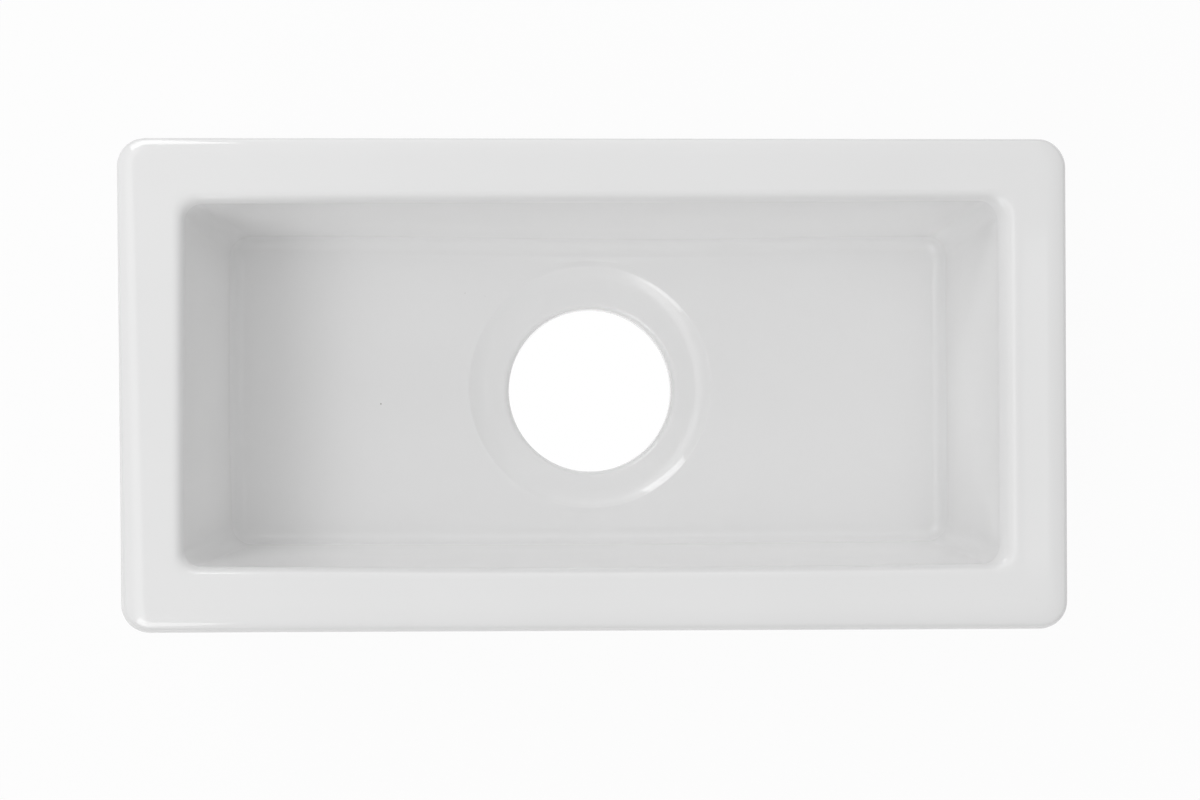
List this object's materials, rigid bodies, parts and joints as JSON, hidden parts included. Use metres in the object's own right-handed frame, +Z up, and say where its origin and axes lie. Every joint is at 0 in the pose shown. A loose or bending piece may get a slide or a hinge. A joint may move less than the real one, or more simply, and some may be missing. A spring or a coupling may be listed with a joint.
{
  "type": "undermount fireclay sink",
  "caption": "Small rectangular undermount fireclay sink: a deep glazed bowl with a flat rim flange, rounded corners, a coved floor and an open drain hole in a sloping recess.",
  "frame": {"origin": "centre of the underside, on the drain's axis, at the level the sink stands on", "axes": "+X along the sink's length, +Y across it, +Z up out of the bowl"},
  "size_m": [0.4814, 0.2496, 0.14],
  "materials": {
    "fired_clay": "bare fired clay, matt and fine-grained",
    "engobe": "matt white slip",
    "white_glaze": "high gloss white glaze"
  },
  "bodies": {
    "root": {"clay_body": "fired_clay", "engobe_coat": "engobe", "glaze_coat": "white_glaze"}
  },
  "joints": []
}
